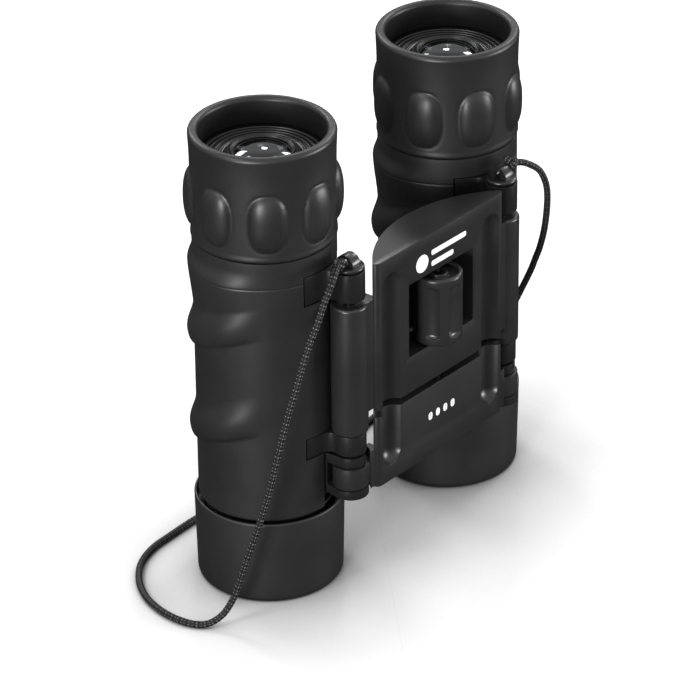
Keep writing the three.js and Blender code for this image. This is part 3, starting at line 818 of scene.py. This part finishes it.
def capsule(name, radius, centre, low, high, segments=48, rings=10):
    """An upright capsule whose ends' centres are at heights low and high."""
    outline = [(radius * math.sin(math.pi / 2 * k / rings), low - radius * math.cos(
        math.pi / 2 * k / rings)) for k in range(rings + 1)]
    outline += [(radius * math.cos(math.pi / 2 * k / rings), high + radius * math.sin(
        math.pi / 2 * k / rings)) for k in range(rings + 1)]
    obj = lathe(name, outline, centre, segments)
    weld(obj)
    return obj


def flute_cutters():
    radius = (FLUTE_HALF ** 2 + FLUTE_DEPTH ** 2) / (2 * FLUTE_DEPTH)
    y = FRONT_Y - radius + FLUTE_DEPTH
    return [capsule("flute", radius, (side * FLUTE_X, y), FLUTE_Z[0] + FLUTE_HALF,
                    FLUTE_Z[1] - FLUTE_HALF) for side in SIDES.values()]


def at_hinges(make):
    return [make((side * HINGE_X, HINGE_Y)) for side in SIDES.values()]


def beside(side, inner, outer):
    return tuple(sorted((side * inner, side * outer)))


def make_main_bridge():
    low, high = 43.8, span("main_bridge")[1].z
    bridge = prism("bridge", bridge_outline(), low, high)
    sleeves = at_hinges(lambda c: lathe("sleeve", rounded(
        [(0.5, SLEEVE_Z[0], 0), (SLEEVE_R, SLEEVE_Z[0], 0.7), (SLEEVE_R, SLEEVE_Z[1], 0.7),
         (0.5, SLEEVE_Z[1], 0)], 5), c, 72))
    webs = [box_piece("web", beside(side, WEB_INNER_X, HINGE_X),
                      (FRONT_Y + 0.9, FRONT_Y + 5.7), (low + 0.8, SLEEVE_Z[1]))
            for side in SIDES.values()]
    add(bridge, webs + sleeves)
    holes = at_hinges(lambda c: cylinder("hole", PIN_HOLE_R, 0, 100, c, 48))
    window = rounded([(-WINDOW_HALF, WINDOW_Z[0], 0.5), (WINDOW_HALF, WINDOW_Z[0], 0.5),
                      (WINDOW_HALF, WINDOW_Z[1], 0.5), (-WINDOW_HALF, WINDOW_Z[1], 0.5)], 4)
    stand = Matrix.Rotation(math.radians(90), 4, "X")
    pocket = prism("window", window, -(FRONT_Y + WINDOW_DEPTH), -(FRONT_Y - 1), stand)
    bore = cylinder("bore", SPINDLE_HOLE_R, 40, 74, (0, WHEEL_Y), 32)
    cut(bridge, [pocket, bore] + flute_cutters() + holes)
    soften(bridge, 0.3, 3)
    finish_piece(bridge, MATERIALS["bridge"], "bridge", "main_bridge")


def make_lower_bridge():
    low, high = (corner.z for corner in span("lower_bridge"))
    bridge = prism("slide", bridge_outline(), low, high)
    lips = [box_piece("lip", beside(side, WEB_INNER_X, 24.4), (FRONT_Y + 0.8, FRONT_Y + 3.5),
                      (24.8, 34.3)) for side in SIDES.values()]
    add(bridge, lips)
    cut(bridge, at_hinges(lambda c: cylinder("recess", KNUCKLE_R + 0.35, 0, 50, c, 72)))
    knuckles = at_hinges(lambda c: cylinder("knuckle", KNUCKLE_R, *LOWER_KNUCKLE_Z, c, 72))
    webs = [box_piece("web", beside(side, WEB_INNER_X, HINGE_X), (FRONT_Y + 0.9, FRONT_Y + 5.5),
                      LOWER_KNUCKLE_Z) for side in SIDES.values()]
    add(bridge, webs + knuckles)
    holes = at_hinges(lambda c: cylinder("hole", PIN_HOLE_R, 0, 100, c, 48))
    bore = cylinder("bore", SPINDLE_HOLE_R, 30, 60, (0, WHEEL_Y), 32)
    cut(bridge, [bore] + flute_cutters() + holes)
    soften(bridge, 0.3, 3)
    finish_piece(bridge, MATERIALS["bridge"], "lower_bridge", "lower_bridge")


WHEEL_R = 5.45
WHEEL_FLUTES = 6
WHEEL_FLUTE_R = 3.6
WHEEL_FLUTE_DEPTH = 0.75
WHEEL_FLUTE_START = 25


def make_wheel():
    low, high = (corner.z for corner in span("focus_wheel"))
    outline = rounded([(0.75, low, 0), (WHEEL_R, low, 0.6), (WHEEL_R, high, 0.45),
                       (WHEEL_R - 0.9, high, 0.1), (WHEEL_R - 1.0, high - 0.9, 0.2),
                       (2.4, high - 0.9, 0.2), (2.2, high - 0.2, 0.15), (1.6, high - 0.2, 0.1),
                       (1.5, high - 0.8, 0.1), (0.75, high - 0.8, 0.1)], 4)
    wheel = lathe("wheel", outline, (0, WHEEL_Y), 144)
    reach = WHEEL_R + WHEEL_FLUTE_R - WHEEL_FLUTE_DEPTH
    ends = rounded([(0, low + 1.7, 0), (WHEEL_FLUTE_R, low + 1.7, 1.1),
                    (WHEEL_FLUTE_R, high - 1.7, 1.1), (0, high - 1.7, 0)], 6)
    flutes = []
    for k in range(WHEEL_FLUTES):
        angle = math.radians(WHEEL_FLUTE_START + k * 360 / WHEEL_FLUTES)
        flute = lathe("flute", ends, (reach * math.cos(angle),
                                      WHEEL_Y + reach * math.sin(angle)), 96)
        weld(flute)
        flutes.append(flute)
    cut(wheel, flutes)
    soften(wheel, 0.3, 4, 24)
    finish_piece(wheel, MATERIALS["wheel"], "focus", "focus_wheel")


LUG_R = 3.5
LUG_HALF_WIDTH = 2.4
LUG_HOLE_Z = 82.0
LUG_HOLE_R = 1.0


def make_lug(name, side):
    low, high = (corner.z for corner in span(f"{name}_strap_lug"))
    centre = (side * HINGE_X, HINGE_Y)
    flange = low + 0.8
    lug = lathe(f"{name}_lug", rounded([(0.3, low, 0), (LUG_R, low, 0.25), (LUG_R, flange, 0.4),
                                        (2.6, flange + 0.15, 0.3), (0.3, flange + 0.3, 0)], 4),
                centre, 96)
    outline = [(-LUG_HALF_WIDTH, low + 0.5), (LUG_HALF_WIDTH, low + 0.5)]
    outline += arc((0, high - LUG_HALF_WIDTH), LUG_HALF_WIDTH, 0, 180, 32)
    stand = Matrix.Translation((*centre, 0)) @ Matrix.Rotation(math.radians(90), 4, "Z") \
        @ Matrix.Rotation(math.radians(90), 4, "X")
    core = cylinder("core", 1, low, low + 1, centre)
    add(lug, [prism("bail", outline, -1.3, 1.3, stand), core])
    cut(lug, [prism("hole", arc((0, LUG_HOLE_Z), LUG_HOLE_R, 0, 360, 32)[:-1], -6, 6, stand)])
    soften(lug, 0.38, 3)
    finish_piece(lug, MATERIALS["plastic"], "bridge", f"{name}_strap_lug")


# Printed marks: plain shapes in place of lettering
def make_marks():
    stand = Matrix.Rotation(math.radians(90), 4, "X")
    thickness = 0.04

    def mark(name, outline, body):
        piece = prism(name, outline, -FRONT_Y - 0.1, -FRONT_Y + thickness, stand)
        finish_piece(piece, MATERIALS["print"], body)

    def bar(x0, x1, z0, z1):
        radius = (z1 - z0) * 0.35
        return rounded([(x0, z0, radius), (x1, z0, radius), (x1, z1, radius), (x0, z1, radius)])

    mark("mark_disc", arc((-6.6, 74.2), 2.1, 0, 360, 48)[:-1], "bridge")
    mark("mark_long_bar", bar(-3.4, 8.6, 74.9, 76.2), "bridge")
    mark("mark_short_bar", bar(-3.4, 4.2, 72.2, 73.5), "bridge")
    for k in range(4):
        x = -4.4 + 2.6 * k
        mark(f"mark_tick_{k}", bar(x, x + 1.3, 33.6, 35.6), "lower_bridge")


for name, side in SIDES.items():
    make_armour(name, side)
    make_housing(name, side)
    make_band(name, side)
    barrel = f"{name}_barrel"
    cup_body, ocular_body = ("left_dioptre", "left_ocular") if name == "left" else (barrel, barrel)
    make_eyecup(name, side, cup_body)
    make_eyepiece(name, side, cup_body, ocular_body)
    make_objective(name, side)
    make_lug(name, side)
make_main_bridge()
make_lower_bridge()
make_wheel()
make_marks()

# CAD nodes that keep their shape get their materials
CARRIED = {
    "prism_holder": "inner", "objective_rear_lens": "lens", "field_lens": "lens",
    "roof_prism": "prism", "half_prism": "prism", "hinge_pin": "steel",
}
KEPT = {f"{name}_{piece}": key for piece, key in CARRIED.items() for name in SIDES}
KEPT["focus_spindle"] = "steel"
for node_name, key in KEPT.items():
    node = frame["nodes"][node_name]
    node.data.materials.clear()
    node.data.materials.append(MATERIALS[key])


# Stage and light ----------------------------------------------------------------------------------

FLOOR_HALF = 30000
# How far the floor's painted shadow reaches from what stands on it, in metres.
PAINTED_SHADOW_REACH = 0.05
HORIZON = 0.505


def make_stage():
    """A pale floor with a painted shadow: its colour darkens softly next to what stands on it."""
    size = FLOOR_HALF
    floor = mesh_object("floor", [(-size, -size, 0), (size, -size, 0), (size, size, 0),
                                  (-size, size, 0)], [(0, 1, 2, 3)])
    nodes = Nodes("floor")
    tone = nodes.noise(3, 2.0)
    # Painted shadow: an ambient-occlusion node darkens the floor's colour next to what stands on
    # it, in place of a soft contact shadow cast by light.
    painted_shadow = nodes.tree.nodes.new("ShaderNodeAmbientOcclusion")
    painted_shadow.inputs["Distance"].default_value = PAINTED_SHADOW_REACH
    nodes.tree.links.new(nodes.ramp(tone, (0.86,) * 3, (0.88,) * 3, 0.3, 0.7),
                         painted_shadow.inputs["Color"])
    nodes.link(painted_shadow.outputs["Color"], "Base Color")
    nodes.set(Roughness=0.9, Specular_IOR_Level=0.1)
    floor.data.materials.append(nodes.material)
    floor.visible_glossy = False


def area_light(name, place, aim, size, power):
    data = bpy.data.lights.new(name, "AREA")
    data.shape = "RECTANGLE"
    data.size, data.size_y = size
    data.energy = power
    light = bpy.data.objects.new(name, data)
    light.location = place
    light.rotation_euler = (Vector(aim) - Vector(place)).to_track_quat("-Z", "Y").to_euler()
    bpy.context.scene.collection.objects.link(light)


def make_world():
    """A pale upper half over a dark lower one, so upright walls stay deep in tone."""
    world = bpy.data.worlds.new("world")
    world.use_nodes = True
    tree = world.node_tree
    place = tree.nodes.new("ShaderNodeTexCoord")
    parts = tree.nodes.new("ShaderNodeSeparateXYZ")
    height = tree.nodes.new("ShaderNodeMapRange")
    height.inputs["From Min"].default_value = -1
    ramp = tree.nodes.new("ShaderNodeValToRGB")
    tree.links.new(place.outputs["Generated"], parts.inputs["Vector"])
    tree.links.new(parts.outputs["Z"], height.inputs["Value"])
    tree.links.new(height.outputs["Result"], ramp.inputs["Fac"])
    stops = ramp.color_ramp.elements
    stops[0].position, stops[0].color = 0.48, (0.04, 0.04, 0.04, 1)
    stops[1].position, stops[1].color = 0.80, (0.9, 0.9, 0.9, 1)
    horizon = stops.new(HORIZON)
    horizon.color = (0.36, 0.36, 0.36, 1)
    tree.links.new(ramp.outputs["Color"], tree.nodes["Background"].inputs["Color"])
    tree.nodes["Background"].inputs["Strength"].default_value = 1.0
    bpy.context.scene.world = world


def make_light():
    make_world()
    aim = (0, 0, 0.05)
    area_light("key", (-1.12, -0.34, 0.17), aim, (0.32, 0.24), 13)
    area_light("upper", (-0.75, 0.1, 0.75), aim, (0.26, 0.26), 2.6)
    area_light("front", (0.75, -0.9, 0.2), aim, (0.5, 0.32), 11)
    area_light("lens_left", (0.28, 1.06, 0.84), aim, (0.34, 0.28), 4.4)
    area_light("lens_right", (1.1, 0.1, 0.84), aim, (0.34, 0.28), 4.4)
    area_light("lens_middle", (0.75, 0.62, 1.0), aim, (0.15, 0.15), 2.2)
    bpy.context.scene.view_settings.view_transform = "Standard"


make_stage()
make_light()
